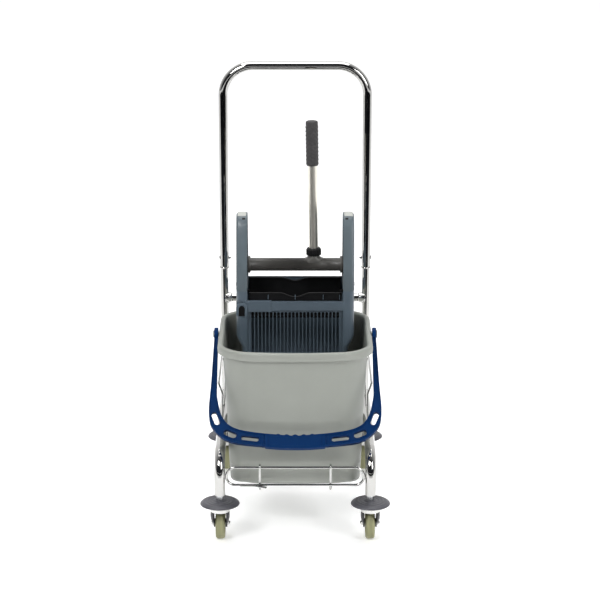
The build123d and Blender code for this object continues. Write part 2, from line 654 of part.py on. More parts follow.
for name, side in SIDES.items():
    with BuildPart() as pinion:
        with BuildSketch(side_plane(side * rack_x)):
            with BuildLine():
                Polyline(*pinion_outline(), close=True)
            make_face()
            with Locations((shaft_y, shaft_z)):
                Circle(8.02, mode=Mode.SUBTRACT)
        extrude(amount=side * rack_width)
    pinion.part.label = f"pinion_{name}"
    export_step(pinion.part, f"parts/pinion_{name}.step")

    with BuildPart() as rack:
        with BuildSketch(side_plane(side * rack_x)):
            with BuildLine():
                Polyline(*rack_outline(), close=True)
            make_face()
        extrude(amount=side * rack_width)
        bar = sorted((side * rack_x, side * (rack_x + rack_width)))
        block(bar, (front_hinge - 5, rear_hinge + 5), (hinge_z - 5, hinge_z + 5))
        for y in (front_hinge, rear_hinge):
            round_bar((side * (rack_x + 5), y, hinge_z), (1, 0, 0), rod_radius, 40, Mode.SUBTRACT)
    rack.part.label = f"rack_{name}"
    export_step(rack.part, f"parts/rack_{name}.step")

with BuildPart() as plate_hinge_rods:
    for y in (front_hinge, rear_hinge):
        round_bar((0, y, hinge_z), (1, 0, 0), rod_radius, 2 * (rack_x + rack_width + 1))
plate_hinge_rods.part.label = "plate_hinge_rods"
export_step(plate_hinge_rods.part, "parts/plate_hinge_rods.step")

for name, hinge_y, plate_height, ribs in (
    ("front", front_hinge, 58.0, (-64, 0, 66, 106)),
    ("rear", rear_hinge, 64.5, ()),
):
    with BuildPart() as press_plate:
        near = hinge_y - plate_thickness / 2
        block((-plate_half, plate_half), (near, near + plate_thickness), (hinge_z, hinge_z + plate_height))
        round_bar((0, hinge_y, hinge_z), (1, 0, 0), 4.5, 2 * plate_half)
        dip = Plane(origin=(0, near - 1, hinge_z + plate_height), x_dir=(1, 0, 0), z_dir=(0, 1, 0))
        with BuildSketch(dip):
            Trapezoid(76, 20.8, 60)
        extrude(amount=plate_thickness + 2, mode=Mode.SUBTRACT)
        for x in ribs:
            block((x - 1.5, x + 1.5), (near - 2.5, near), (hinge_z + 41, hinge_z + plate_height - 11))
        for side in (-1, 1):
            cam = (side * (plate_half + 13), hinge_y, hinge_z + cam_arm)
            round_bar(cam, (1, 0, 0), 3, 32)
        round_bar((0, hinge_y, hinge_z), (1, 0, 0), rod_radius + 0.06, 2 * plate_half + 2, Mode.SUBTRACT)
    press_plate.part.label = f"{name}_press_plate"
    export_step(press_plate.part, f"parts/{name}_press_plate.step")
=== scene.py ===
"""Looks of the mop bucket trolley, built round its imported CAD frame. Metres, +Z up, front towards -Y."""

import json
from math import cos, hypot, pi, radians, sin, tan, tau

import bmesh
import bpy
from mathutils import Matrix, Vector


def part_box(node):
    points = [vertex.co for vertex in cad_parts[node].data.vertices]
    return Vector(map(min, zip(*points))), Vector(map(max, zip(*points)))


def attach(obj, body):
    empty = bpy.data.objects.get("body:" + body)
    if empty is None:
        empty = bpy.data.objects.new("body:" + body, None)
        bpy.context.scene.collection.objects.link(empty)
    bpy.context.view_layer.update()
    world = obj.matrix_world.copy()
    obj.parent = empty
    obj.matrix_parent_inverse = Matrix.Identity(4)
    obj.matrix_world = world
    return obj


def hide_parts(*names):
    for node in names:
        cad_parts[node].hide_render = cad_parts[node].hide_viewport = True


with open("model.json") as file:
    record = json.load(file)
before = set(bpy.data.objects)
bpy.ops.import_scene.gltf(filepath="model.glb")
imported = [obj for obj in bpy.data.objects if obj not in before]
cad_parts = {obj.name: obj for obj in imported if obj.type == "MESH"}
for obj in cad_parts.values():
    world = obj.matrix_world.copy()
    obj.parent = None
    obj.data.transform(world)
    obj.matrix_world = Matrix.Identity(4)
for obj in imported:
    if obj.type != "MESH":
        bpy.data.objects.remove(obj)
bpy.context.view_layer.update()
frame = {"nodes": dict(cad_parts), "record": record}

MM = 0.001
nodes = frame["nodes"]
slot_of = {entry["node"]: entry["material_slot"] for entry in frame["record"]["subparts"]}
body_of = {node: body for body, names in frame["record"]["behaviour"]["bodies"].items() for node in names}
CORNERS = ("front_left", "front_right", "rear_left", "rear_right")
SIDES = {"left": -1, "right": 1}
SHAFT_Y, SHAFT_Z = 278.5, 596  # the press shaft's axis, in the units of at()


def middle(node):
    """The middle of a CAD node's box."""
    low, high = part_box(node)
    return (Vector(low) + Vector(high)) / 2


LEG_Y = middle("bumper_disc_front_left").y


def at(x, y, z):
    """A point given in millimetres, with Y counted from the front legs."""
    return Vector((x * MM, LEG_Y + y * MM, z * MM))


# ---------------------------------------------------------------- camera, light and floor
def make_camera():
    """The camera stands 4.5 m in front of the front legs and looks down a little."""
    data = bpy.data.cameras.new("camera")
    data.lens = 125.1
    data.shift_x = 0.008
    camera = bpy.data.objects.new("camera", data)
    camera.location = (0, LEG_Y - 4.528, 1.9)
    camera.rotation_euler = (radians(90 - 16.16), 0, 0)
    bpy.context.collection.objects.link(camera)
    bpy.context.scene.camera = camera


def make_world():
    """Soft light from behind, above and the sides, which fades towards the front for contrast."""
    world = bpy.data.worlds.new("studio")
    bpy.context.scene.world = world
    world.use_nodes = True
    tree = world.node_tree
    background = tree.nodes["Background"]
    coordinates = tree.nodes.new("ShaderNodeTexCoord")
    split = tree.nodes.new("ShaderNodeSeparateXYZ")
    ramp = tree.nodes.new("ShaderNodeValToRGB")
    spread = tree.nodes.new("ShaderNodeMapRange")
    tree.links.new(coordinates.outputs["Generated"], split.inputs[0])
    tree.links.new(split.outputs["Y"], spread.inputs["Value"])
    spread.inputs["From Min"].default_value = -1
    tree.links.new(spread.outputs[0], ramp.inputs[0])
    front, back = ramp.color_ramp.elements
    front.position, front.color = 0.22, (0.025, 0.026, 0.03, 1)
    back.position, back.color = 0.80, (1.0, 1.0, 1.0, 1)
    ramp.color_ramp.elements.new(0.52).color = (0.46, 0.46, 0.47, 1)
    tree.links.new(ramp.outputs[0], background.inputs["Color"])


def area_light(name, location, target, size, power):
    """A rectangular lamp of a size in metres and a power in watts, aimed at a target."""
    data = bpy.data.lights.new(name, "AREA")
    data.shape = "RECTANGLE"
    data.size, data.size_y = size
    data.energy = power
    light = bpy.data.objects.new(name, data)
    light.location = location
    light.rotation_euler = (Vector(target) - Vector(location)).to_track_quat("-Z", "Y").to_euler()
    bpy.context.collection.objects.link(light)


def staged(name, corners, faces, surface):
    """A mesh that belongs to the studio and not to the trolley."""
    mesh = bpy.data.meshes.new(name)
    mesh.from_pydata(corners, [], faces)
    mesh.materials.append(surface)
    stood = bpy.data.objects.new(name, mesh)
    bpy.context.collection.objects.link(stood)
    return stood


def glowing(name, color, source, span, glow):
    """A matt stage material whose own glow changes over a span of "distance" from the origin, or of "Y"."""
    made = material(name, color, 0.7, mottle=0.01, grain=(40, 0.02), shine=0.0)
    tree = made.node_tree
    shader = tree.nodes["Principled BSDF"]
    coordinates = tree.nodes.new("ShaderNodeTexCoord")
    if source == "distance":
        reader = tree.nodes.new("ShaderNodeVectorMath")
        reader.operation = "LENGTH"
    else:
        reader = tree.nodes.new("ShaderNodeSeparateXYZ")
    tree.links.new(coordinates.outputs["Object"], reader.inputs[0])
    fade = tree.nodes.new("ShaderNodeMapRange")
    fade.interpolation_type = "SMOOTHSTEP"
    fade.inputs["From Min"].default_value, fade.inputs["From Max"].default_value = span
    fade.inputs["To Min"].default_value, fade.inputs["To Max"].default_value = glow
    tree.links.new(reader.outputs["Value" if source == "distance" else source], fade.inputs["Value"])
    tree.links.new(fade.outputs[0], shader.inputs["Emission Strength"])
    shader.inputs["Emission Color"].default_value = (1, 1, 1, 1)
    return made


def make_stage():
    """A pale floor and backdrop, and a dark card in front that only reflections show."""
    half, sides = 30, 48
    corners = [(-half, -half, 0), (half, -half, 0), (half, half, 0), (-half, half, 0)]
    staged("floor", corners, [(0, 1, 2, 3)],
           glowing("studio_floor", (0.97, 0.97, 0.97), "distance", span=(1, 4), glow=(0.30, 0.55)))

    ring = [(half * cos(tau * i / sides), half * sin(tau * i / sides)) for i in range(sides)]
    corners = [(x, y, z) for z in (-1, half) for x, y in ring]
    faces = [(i, (i + 1) % sides, sides + (i + 1) % sides, sides + i) for i in range(sides)]
    faces.append(tuple(range(sides, 2 * sides)))
    backdrop = staged("backdrop", corners, faces,
                      glowing("studio_backdrop", (0.9, 0.9, 0.9), "distance", span=(1, 4), glow=(0.5, 0.8)))

    near, fade, far, wide, high = -0.7, 0.6, -7.0, 8.0, 0.004
    corners = [(-wide, near, high), (wide, near, high), (wide, far, high), (-wide, far, high)]
    card = staged("dark_card", corners, [(0, 1, 2, 3)],
                  glowing("dark_card", (0.008, 0.008, 0.010), "Y", span=(near - fade, near), glow=(0, 1.3)))
    for shown in (backdrop, card):
        shown.visible_diffuse = shown.visible_shadow = shown.visible_transmission = False
    backdrop.visible_glossy = card.visible_camera = False


# ---------------------------------------------------------------- materials
def material(name, color, roughness, metallic=0.0, mottle=0.06, grain=(900, 0.05), wear=0.10, shine=0.5,
             cloud=14, stretch=(1, 1, 1)):
    """A moulded or plated surface: cloudy colour, uneven gloss and a fine grain.

    mottle and wear are shares of the colour and the roughness, and grain is a noise scale with a bump strength.
    """
    made = bpy.data.materials.new(name)
    made.use_nodes = True
    tree = made.node_tree
    shader = tree.nodes["Principled BSDF"]
    shader.inputs["Metallic"].default_value = metallic
    shader.inputs["Specular IOR Level"].default_value = shine
    coordinates = tree.nodes.new("ShaderNodeTexCoord")
    mapping = tree.nodes.new("ShaderNodeMapping")
    mapping.inputs["Scale"].default_value = stretch
    tree.links.new(coordinates.outputs["Object"], mapping.inputs["Vector"])

    def noise(scale, detail, distortion=0.0):
        made_noise = tree.nodes.new("ShaderNodeTexNoise")
        made_noise.inputs["Scale"].default_value = scale
        made_noise.inputs["Detail"].default_value = detail
        made_noise.inputs["Distortion"].default_value = distortion
        tree.links.new(mapping.outputs[0], made_noise.inputs["Vector"])
        return made_noise.outputs["Fac"]

    clouds = tree.nodes.new("ShaderNodeValToRGB")
    dark, light = clouds.color_ramp.elements
    dark.position, light.position = 0.3, 0.7
    dark.color = (*(c * (1 - mottle) for c in color), 1)
    light.color = (*(min(1.0, c * (1 + mottle)) for c in color), 1)
    tree.links.new(noise(cloud, 6), clouds.inputs[0])
    tree.links.new(clouds.outputs[0], shader.inputs["Base Color"])

    gloss = tree.nodes.new("ShaderNodeMapRange")
    gloss.inputs["From Min"].default_value, gloss.inputs["From Max"].default_value = 0.3, 0.7
    gloss.inputs["To Min"].default_value = roughness * (1 - wear)
    gloss.inputs["To Max"].default_value = roughness * (1 + wear)
    tree.links.new(noise(cloud * 3.1, 4, 0.5), gloss.inputs["Value"])
    tree.links.new(gloss.outputs[0], shader.inputs["Roughness"])

    bump = tree.nodes.new("ShaderNodeBump")
    bump.inputs["Strength"].default_value = grain[1]
    bump.inputs["Distance"].default_value = MM
    tree.links.new(noise(grain[0], 3), bump.inputs["Height"])
    tree.links.new(bump.outputs[0], shader.inputs["Normal"])
    return made


def make_materials():
    """One material for each slot of the record, and two more for parts of a piece's look."""
    return {
        "chromed_tube": material("chromed_tube", (0.50, 0.497, 0.482), 0.06, 1, 0.03, (60, 0.02), 0.5),
        "chromed_wire": material("chromed_wire", (0.50, 0.50, 0.49), 0.10, 1, 0.04, (90, 0.03), 0.4),
        "tube_collar": material("tube_collar", (0.72, 0.72, 0.71), 0.16, 1, 0.05),
        "zinc_fastener": material("zinc_fastener", (0.66, 0.66, 0.66), 0.25, 1, 0.08),
        "socket_plastic": material("socket_steel", (0.62, 0.63, 0.64), 0.24, 1, 0.08),
        "disc_plastic": material("disc_plastic", (0.066, 0.066, 0.078), 0.40, 0, 0.18, (700, 0.12)),
        "caster_steel": material("caster_steel", (0.62, 0.62, 0.60), 0.22, 1, 0.06, (300, 0.06), 0.3),
        "hub_plastic": material("hub_plastic", (0.16, 0.16, 0.12), 0.45),
        "tyre_rubber": material("tyre_rubber", (0.25, 0.25, 0.13), 0.55, 0, 0.22, (500, 0.15), cloud=9,
                                stretch=(14, 1, 1)),
        # On the fork cheeks and shrouds this near-black is painted dark reflection and shade.
        "guard_plastic": material("guard_plastic", (0.008, 0.008, 0.009), 0.35),
        "bucket_plastic": material("bucket_plastic", (0.252, 0.264, 0.238), 0.42, 0, 0.035, (1100, 0.08), 0.12),
        "bail_plastic": material("bail_plastic", (0.0004, 0.021, 0.088), 0.38, 0, 0.08, (700, 0.06), 0.15, 0.08),
        "wringer_plastic": material("wringer_plastic", (0.076, 0.104, 0.131), 0.36, 0, 0.10, (800, 0.08), 0.15),
        "housing_plastic": material("housing_plastic", (0.081, 0.105, 0.120), 0.34, 0, 0.10, (800, 0.08), 0.15),
        "press_plastic": material("press_plastic", (0.0035, 0.0035, 0.004), 0.46, 0, 0.15, (800, 0.10), 0.15, 0.25),
        "lever_chrome": material("lever_chrome", (0.92, 0.89, 0.80), 0.32, 1, 0.03, (900, 0.01), 0.05),
        "grip_rubber": material("grip_rubber", (0.028, 0.026, 0.027), 0.60, 0, 0.35, (650, 0.30), 0.2, cloud=320),
        "gear_plastic": material("gear_plastic", (0.020, 0.020, 0.022), 0.45),
        "steel_rod": material("steel_rod", (0.58, 0.58, 0.58), 0.22, 1, 0.08),
        "shaft_plastic": material("shaft_plastic", (0.062, 0.060, 0.055), 0.42, 0, 0.20, (700, 0.12), 0.2),
        "cap_plastic": material("cap_plastic", (0.42, 0.43, 0.40), 0.40, 0, 0.08, (900, 0.06)),
    }


# ---------------------------------------------------------------- mesh tools
def piece(name, mesh, node, hides=(), smooth=40, wears=None, weighted=False):
    """Link a finished mesh as a piece that rides with a CAD node's body and wears its material."""
    made = bpy.data.objects.new(name, mesh)
    bpy.context.collection.objects.link(made)
    mesh.materials.clear()
    mesh.materials.append(materials[wears or slot_of[node]])
    mesh.shade_smooth()
    mesh.set_sharp_from_angle(angle=radians(smooth))
    if weighted:
        made.modifiers.new("flat_faces", "WEIGHTED_NORMAL").keep_sharp = True
    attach(made, body_of[node])
    if hides:
        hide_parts(*hides)
    return made


def mesh_of(bm, name):
    """Turn a finished bmesh into a mesh and free it."""
    mesh = bpy.data.meshes.new(name)
    bmesh.ops.recalc_face_normals(bm, faces=bm.faces)
    bm.to_mesh(mesh)
    bm.free()
    return mesh


def bridge(bm, loops, capped=True):
    """Quads between closed rings of points; the first and last rings are filled when capped."""
    rings = [[bm.verts.new(point) for point in loop] for loop in loops]
    for low, high in zip(rings, rings[1:]):
        for i in range(len(low)):
            j = (i + 1) % len(low)
            bm.faces.new((low[i], low[j], high[j], high[i]))
    if capped:
        bm.faces.new(list(reversed(rings[0])))
        bm.faces.new(rings[-1])


def lathe(bm, centre, axis, profile, segments=48, ripple=None):
    """Turn a closed profile of (distance along the axis, radius) points, in millimetres, round an axis."""
    axis = Vector(axis).normalized()
    across = axis.orthogonal().normalized()
    other = axis.cross(across)
    loops = []
    for along, radius in profile + profile[:1]:
        ring = []
        for i in range(segments):
            turn = tau * i / segments
            reach = max(radius + (ripple(along, turn) if ripple and radius > 1 else 0), 0.001)
            ring.append(Vector(centre) + (axis * along + (across * cos(turn) + other * sin(turn)) * reach) * MM)
        loops.append(ring)
    bridge(bm, loops, capped=False)
    bmesh.ops.remove_doubles(bm, verts=bm.verts, dist=4e-6)


def rounded_path(corners, radius, steps=10):
    """A polyline whose inner corners are arcs of a radius in millimetres."""
    corners = [Vector(corner) for corner in corners]
    points = [corners[0]]
    for before, corner, after in zip(corners, corners[1:], corners[2:]):
        into, out = (before - corner).normalized(), (after - corner).normalized()
        half = into.angle(out) / 2
        sweep = pi - 2 * half
        centre = corner + (into + out).normalized() * radius * MM / sin(half)
        start = corner + into * radius * MM / tan(half)
        end = corner + out * radius * MM / tan(half)
        for i in range(steps + 1):
            t = i / steps
            points.append(centre + (start - centre) * sin((1 - t) * sweep) / sin(sweep)
                          + (end - centre) * sin(t * sweep) / sin(sweep))
    points.append(corners[-1])
    return points


def tube(bm, points, radius, segments=24):
    """A solid round bar along points, with softened ends."""
    tangents = [(b - a).normalized() for a, b in zip(points, points[1:])]
    tangents = [tangents[0]] + [(a + b).normalized() for a, b in zip(tangents, tangents[1:])] + [tangents[-1]]
    edge = radius / 4
    stations = [(points[0], tangents[0], radius - edge)]
    stations.append((points[0] + tangents[0] * edge * MM, tangents[0], radius))
    stations += [(point, tangent, radius) for point, tangent in zip(points[1:-1], tangents[1:-1])]
    stations.append((points[-1] - tangents[-1] * edge * MM, tangents[-1], radius))
    stations.append((points[-1], tangents[-1], radius - edge))
    across = tangents[0].orthogonal().normalized()
    loops = []
    for point, tangent, size in stations:
        across = (across - tangent * across.dot(tangent)).normalized()
        up = tangent.cross(across)
        loops.append([point + (across * cos(tau * i / segments) + up * sin(tau * i / segments)) * size * MM
                      for i in range(segments)])
    bridge(bm, loops)


def curve_through(points, steps=8):
    """A smooth line through (u, v) points."""
    line = []
    ends = [points[0]] + list(points) + [points[-1]]
    for p0, p1, p2, p3 in zip(ends, ends[1:], ends[2:], ends[3:]):
        for i in range(steps):
            t = i / steps
            line.append(tuple(
                0.5 * (2 * b + (c - a) * t + (2 * a - 5 * b + 4 * c - d) * t**2 + (3 * b - a - 3 * c + d) * t**3)
                for a, b, c, d in zip(p0, p1, p2, p3)))
    return line + [tuple(points[-1])]


def flat_solid(bm, loops, thickness, edge, matrix):
    """A flat plate with holes and rounded edges, drawn in millimetres and placed by a matrix."""
    curve = bpy.data.curves.new("outline", "CURVE")
    curve.dimensions = "2D"
    curve.fill_mode = "BOTH"
    curve.extrude = thickness / 2 - edge
    curve.bevel_depth = edge
    curve.bevel_resolution = 2
    curve.offset = -edge
    for loop in loops:
        spline = curve.splines.new("POLY")
        spline.points.add(len(loop) - 1)
        for point, (u, v) in zip(spline.points, loop):
            point.co = (u, v, 0, 1)
        spline.use_cyclic_u = True
    holder = bpy.data.objects.new("outline", curve)
    mesh = bpy.data.meshes.new_from_object(holder)
    mesh.transform(matrix)
    bm.from_mesh(mesh)
    bpy.data.objects.remove(holder)
    bpy.data.curves.remove(curve)
    bpy.data.meshes.remove(mesh)
    bmesh.ops.remove_doubles(bm, verts=bm.verts, dist=1e-6)


def softened(node, width, wears=None, part="soft", slab=None, hides=True):
    """A CAD node's own shape with rounded edges; slab is (height, True for the share above it)."""
    source = nodes[node]
    bm = bmesh.new()
    bm.from_mesh(source.data)
    bm.transform(source.matrix_world)
    bmesh.ops.remove_doubles(bm, verts=bm.verts, dist=1e-6)
    bmesh.ops.dissolve_limit(bm, angle_limit=radians(0.5), verts=bm.verts, edges=bm.edges)
    if slab:
        height, upper = slab
        bmesh.ops.bisect_plane(bm, geom=bm.verts[:] + bm.edges[:] + bm.faces[:], plane_co=(0, 0, height * MM),
                               plane_no=(0, 0, 1), clear_inner=upper, clear_outer=not upper)
        bmesh.ops.holes_fill(bm, edges=bm.edges, sides=0)
    name = node + "_" + part
    made = piece(name, mesh_of(bm, name), node, hides=(node,) if hides else (), wears=wears)
    bevel = made.modifiers.new("edges", "BEVEL")
    bevel.width = width * MM
    bevel.segments = 2
    bevel.limit_method = "ANGLE"
    bevel.angle_limit = radians(32)
    bevel.harden_normals = True


# ---------------------------------------------------------------- bucket
def bucket_loop(z, half, front, back, corner, front_bow, back_bow, scoop=0.0):
    """Ring round the bucket at a height: bowed front and back, straight sides and round corners."""
    mid_y, depth = (front + back) / 2, (back - front) / 2
    corners = []
    for turn, (side_x, side_y) in enumerate(((1, 1), (-1, 1), (-1, -1), (1, -1))):
        centre = (side_x * (half - corner), mid_y + side_y * (depth - corner))
        corners.append([(centre[0] + corner * cos(pi / 2 * (turn + i / 12)),
                         centre[1] + corner * sin(pi / 2 * (turn + i / 12))) for i in range(13)])
    points = []
    for turn in range(4):
        points += corners[turn]
        start, end = corners[turn][-1], corners[(turn + 1) % 4][0]
        between = 48 if turn % 2 == 0 else 12
        points += [(start[0] + (end[0] - start[0]) * i / between, start[1] + (end[1] - start[1]) * i / between)
                   for i in range(1, between)]
    ring = []
    for x, y in points:
        share = (y - mid_y) / depth
        bow = front_bow * -share if share < 0 else -back_bow * share
        y += bow * (x / half) ** 2
        if share < 0:
            y += scoop * ease((abs(x) - 88) / 40) * min(1.0, -share * 1.4)
        ring.append(at(x, y, z))
    return ring


def ease(t):
    """A smooth step from 0 to 1."""
    t = min(1.0, max(0.0, t))
    return t * t * (3 - 2 * t)


def bucket_ring(z, inset, scooped=False):
    """The bucket's wall at a height: a leaning upper wall that rounds in to a narrower lower part."""
    lean = (460 - z) / 176
    upper = (169 - 10 * lean - inset, 9 + 8 * lean + inset, 353 - 8 * lean - inset, 58 - inset, 20, 8)
    lean = (266 - z) / 137.7
    lower = (158 - 6 * lean - inset, 29 + 5 * lean + inset, 339 - 6 * lean - inset, 38 - 12 * lean - inset, 5, 6)
    share = ease((z - 259) / 33)
    scoop = 8 * ease((177 - z) / 6) if scooped else 0
    return bucket_loop(z, *(a + (b - a) * share for a, b in zip(lower, upper)), scoop)


def make_bucket():
    """The bucket as one shell: up the outside, over the skirted lip and down the inside."""
    low, lip_top = 128.4, 460.0
    round_out, round_in, wall = 9, 10, 3
    loops = []
    for i in range(7):
        turn = i * pi / 12
        loops.append(bucket_ring(low + round_out - round_out * cos(turn), round_out - round_out * sin(turn), True))
    loops += [bucket_ring(z, 0, True) for z in (146, 155, 164, 166, 168, 170, 172, 174, 176, 178, 190, 215, 240, 256)]
    loops += [bucket_ring(260 + 2.5 * step, 0) for step in range(14)]
    loops += [bucket_ring(z, 0) for z in (300, 320, 350, 380, 410, 430, 440)]
    lip = [(0, 443.5), (1, 444.6), (7.4, 444.8), (8.2, 443.6), (8.4, 441.2), (9.3, 440.2), (10.4, 440.9), (10.9, 443),
           (11, 448), (11, 452), (10.6, 455.4), (9.4, 457.9), (7.4, 459.5), (5, lip_top), (2, 459.7),
           (-0.6, 458.8), (-2.2, 456.8), (-3, 453.5)]
    loops += [bucket_loop(z, 169 + out, 9 - out, 353 + out, 58 + out, 20, 8) for out, z in lip]
    loops += [bucket_ring(z, wall) for z in (440, 410, 380, 350, 320, 300)]
    loops += [bucket_ring(z, wall) for z in (292, 287, 282, 277, 272, 267, 262, 256, 240, 215, 190, 165, 150)]
    for i in range(6):
        turn, reach = i * pi / 10, wall + round_in
        loops.append(bucket_ring(low + reach - round_in * sin(turn), reach - round_in * cos(turn)))
    bm = bmesh.new()
    bridge(bm, loops)
    piece("bucket_shell", mesh_of(bm, "bucket_shell"), "bucket", hides=("bucket",), smooth=50)


# ---------------------------------------------------------------- bail
# Each slot of the bail's right half: centre, turn in degrees, length and width.
BAIL_SLOTS = (((184, 222), 111, 34, 12.5), ((150, 261), 157, 31, 14), ((104, 272.5), 173, 41, 11))


def stadium(centre, turn, length, width):
    """Outline of a slot with round ends."""
    radius, reach = width / 2, (length - width) / 2
    along = Vector((cos(radians(turn)), sin(radians(turn))))
    points = []
    for end in (1, -1):
        for i in range(13):
            angle = radians(turn) + (pi / 12 * i - pi / 2) + (0 if end > 0 else pi)
            points.append((centre[0] + along.x * reach * end + radius * cos(angle),
                           centre[1] + along.y * reach * end + radius * sin(angle)))
    return points


def grown(loop, amount):
    """A closed outline moved out by an amount, or in when it is negative."""
    count = len(loop)
    area = sum(loop[i - 1][0] * loop[i][1] - loop[i][0] * loop[i - 1][1] for i in range(count))
    turn = 1 if area > 0 else -1
    moved = []
    for i, (u, v) in enumerate(loop):
        du, dv = loop[(i + 1) % count][0] - loop[i - 1][0], loop[(i + 1) % count][1] - loop[i - 1][1]
        size = hypot(du, dv)
        moved.append((u + turn * dv / size * amount, v - turn * du / size * amount))
    return moved


def make_bail():
    """The bail, drawn flat as (u across, v down from the pivot) and leant forward."""
    pivot = middle("bail_pivots")
    lean = radians(46)
    place = Matrix((
        (MM, 0, 0, 0),
        (0, -cos(lean) * MM, sin(lean) * MM, pivot.y),
        (0, -sin(lean) * MM, -cos(lean) * MM, pivot.z),
        (0, 0, 0, 1),
    ))
    outer = [(191, 0), (191, 16), (193.4, 70), (196, 130), (200, 208), (189, 249), (152, 279), (93, 289), (0, 296)]
    inner = [(0, 266), (93, 257), (144, 244), (169, 217), (181, 168), (182, 130), (181.8, 70), (181.5, 0)]
    right = curve_through(outer)
    back = curve_through(inner)
    outline = right + [(-u, v) for u, v in reversed(right[:-1])] + [(-u, v) for u, v in reversed(back)] + back[1:]
    slots = list(BAIL_SLOTS)
    slots += [((-u, v), 180 - turn, length, width) for (u, v), turn, length, width in BAIL_SLOTS]
    bm = bmesh.new()
    holes = [stadium(centre, turn, length, width) for centre, turn, length, width in slots]
    flat_solid(bm, [outline] + holes, thickness=8, edge=0.6, matrix=place)
    flat_solid(bm, [outline, grown(outline, -3.4)], thickness=13, edge=1.2, matrix=place)
    for centre, turn, length, width in slots:
        ring = [stadium(centre, turn, length + 5, width + 5), stadium(centre, turn, length, width)]
        flat_solid(bm, ring, thickness=11, edge=0.9, matrix=place)

    def edge_v(u, low, rise):
        """The grip's edge, which rises towards its ends."""
        return low - rise * (u / 93) ** 2

    steps = range(-69, 70)
    wave_end, wave_length = 48.5, 19.4
    wave = [1.7 * (1 - cos(tau * (u + wave_end) / wave_length)) if abs(u) < wave_end else 0.0 for u in steps]
    near = [(u, edge_v(u, 266, 9) - bump) for u, bump in zip(steps, wave)]
    far = [(u, edge_v(u, 297.4, 7)) for u in reversed(steps)]
    flat_solid(bm, [near + far], thickness=13.4, edge=0.8, matrix=place)
    bead = [(u, edge_v(u, 271, 8)) for u in range(-62, 63, 4)]
    bead += [(u, edge_v(u, 291.5, 7)) for u in range(62, -63, -4)]
    flat_solid(bm, [grown(bead, 1.2), grown(bead, -0.6)], thickness=14, edge=0.8, matrix=place)
    for side in (-1, 1):
        rib = [(side * 73, 266.2), (side * 76.5, 265.6), (side * 76.5, 291), (side * 73, 291.6)]
        flat_solid(bm, [rib], thickness=12, edge=0.8, matrix=place)
        eye = [(181.6, 6.2), (181.6, 13.8), (182.6, 14.9), (190, 14.9), (191, 13.8), (191, 9.5), (189.6, 8.8),
               (189.6, 6.2)]
        lathe(bm, (0, pivot.y, pivot.z), (side, 0, 0), eye)
    piece("bail_arch", mesh_of(bm, "bail_arch"), "bail", hides=("bail",), weighted=True)


# ---------------------------------------------------------------- wringer
def make_grate_borders():
    """Raised borders round the grate's slots: an arch over each, sharing the legs between them."""
    count, pitch, face_y, foot_z, spring_z = 24, 8.75, 197.2, 403.5, 498
    bm = bmesh.new()
    for step in range(count):
        x = pitch * (step - (count - 1) / 2)
        arch = [at(x - pitch / 2, face_y, foot_z)]
        arch += [at(x - pitch / 2 * cos(pi * i / 10), face_y, spring_z + pitch / 2 * sin(pi * i / 10))
                 for i in range(11)]
        tube(bm, arch, 1.15, 10)
    last_x = pitch * count / 2
    tube(bm, [at(last_x, face_y, foot_z), at(last_x, face_y, 450), at(last_x, face_y, spring_z)], 1.15, 10)
    piece("grate_borders", mesh_of(bm, "grate_borders"), "wringer_basket")


def round_top(centre_x, spring_z, half_width, height, steps):
    """The inner points of a half ellipse over a centre, from its -X side to its +X side."""
    return [(centre_x - half_width * cos(pi * i / steps), spring_z + height * sin(pi * i / steps))
            for i in range(1, steps)]


def make_clip_eye():
    """The arched eye at the clip's outer end, drawn upright as (X, Z), and a near-black plate in its opening as
    painted shade.
    """
    eye_x = -126
    upright = Matrix(((MM, 0, 0, 0), (0, 0, -MM, at(0, 189, 0).y), (0, MM, 0, 0), (0, 0, 0, 1)))
    arch = [(-139.4, 495), (-139.4, 514)] + round_top(eye_x, 514, 13.4, 12.6, 14)
    arch += [(-112.6, 514), (-112.6, 492), (-119, 492), (-119, 512)]
    arch += reversed(round_top(eye_x, 512, 7, 7.4, 12))
    arch += [(-133, 512), (-133, 495)]
    bm = bmesh.new()
    flat_solid(bm, [arch], thickness=7, edge=1.0, matrix=upright)
    piece("clip_lug", mesh_of(bm, "clip_lug"), "handle_clip", weighted=True)
    # The near-black plate in the eye's opening is painted shade where the opening looks dark.
    painted_shade_outline = [(-133.2, 494), (-133.2, 512)] + round_top(eye_x, 512, 7.2, 7.6, 12)
    painted_shade_outline += [(-118.8, 512), (-118.8, 494)]
    bm = bmesh.new()
    flat_solid(bm, [painted_shade_outline], thickness=3, edge=0.2, matrix=upright)
    piece("clip_eye_painted_shade", mesh_of(bm, "clip_eye_painted_shade"), "handle_clip", wears="press_plastic")


def housing_outline():
    """Side outline of a rack housing in (Y, Z): upright at its foot, leaning in to a rounded crest."""
    front = curve_through([(218, 672), (222.6, 690), (229, 708), (241, 722.5), (262, 728)], 6)
    back = curve_through([(262, 728), (285, 722), (299, 706), (306.5, 684), (311, 660)], 6)
    return [(192, 553), (192, 565)] + front + back[1:] + [(330, 565), (330, 553)]


def make_housing_shell(side, node, name):
    """A rack housing with a chamfered outer corner, a boss inside and a screw seat outside."""
    skin = [(136, 3), (113, 3), (113, 0.9), (113.9, 0), (132.5, 0), (134.6, 0.5), (136.6, 1.7), (138.1, 3.4), (139, 6)]
    boss = [(-9, 8.1), (-9, 12.4), (-8.4, 13), (-2, 13), (-2, 8.1)]
    seat = [(-0.5, 0.01), (-0.5, 11.5), (0.5, 11), (0.8, 10), (0.8, 6), (0.2, 5.4), (0.2, 0.01)]
    outline, foot_z = housing_outline(), 553
    bm = bmesh.new()
    bridge(bm, [[at(side * x, y, max(z, foot_z)) for y, z in (grown(outline, -inset) if inset else outline)]
                for x, inset in skin])
    for profile in (boss, seat):
        lathe(bm, at(side * 139, SHAFT_Y, SHAFT_Z), (side, 0, 0), profile, 40)
    piece("housing_" + name, mesh_of(bm, "housing_" + name), node, hides=(node,), smooth=35)


